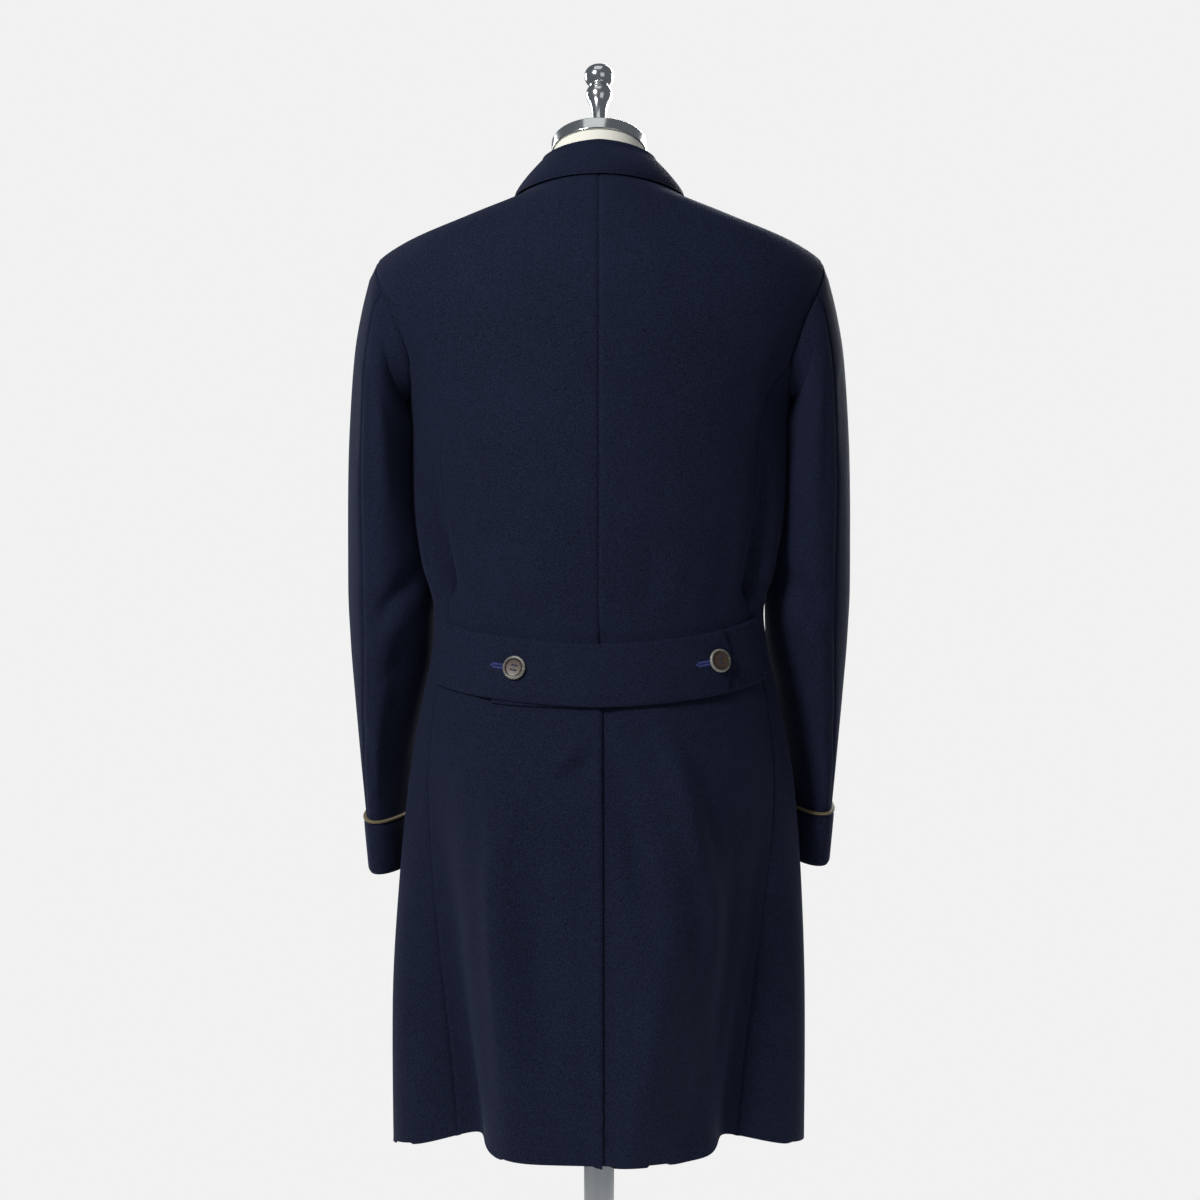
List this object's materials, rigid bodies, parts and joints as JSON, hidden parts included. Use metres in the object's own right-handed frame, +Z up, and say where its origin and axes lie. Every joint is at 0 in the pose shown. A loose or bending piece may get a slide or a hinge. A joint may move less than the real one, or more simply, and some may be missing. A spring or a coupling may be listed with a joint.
{
  "type": "wool overcoat on a tailor's dress form",
  "caption": "navy wool overcoat with a buttoned half belt and a centre back vent, worn by a limbless dress form on a pole and round base",
  "frame": {"origin": "centre of the flat underside of the base, on the pole's axis", "axes": "+Z up, the front of the coat faces -Y, the wearer's left is +X"},
  "size_m": [0.543, 0.3397, 1.5009],
  "materials": {
    "wool": "navy worsted overcoating, fine twill, soft nap",
    "trim": "tan twill edging",
    "horn": "dark brown polished horn",
    "form_cover": "cream cotton jersey stretched over a padded form",
    "chrome": "polished chrome plate",
    "steel": "satin steel"
  },
  "bodies": {
    "root": {"back_left": "wool", "back_right": "wool", "front_left": "wool", "front_right": "wool", "lapel_left": "wool", "lapel_right": "wool", "collar": "wool", "sleeve_upper_left": "wool", "sleeve_under_left": "wool", "sleeve_upper_right": "wool", "sleeve_under_right": "wool", "cuff_left": "wool", "cuff_right": "wool", "belt_over": "wool", "belt_under": "wool", "cuff_trim_left": "trim", "cuff_trim_right": "trim", "belt_button_left": "horn", "belt_button_right": "horn", "front_button_1": "horn", "front_button_2": "horn", "front_button_3": "horn", "form_body": "form_cover", "neck_cap": "chrome", "finial": "chrome", "pole": "steel", "base": "steel"}
  },
  "joints": []
}
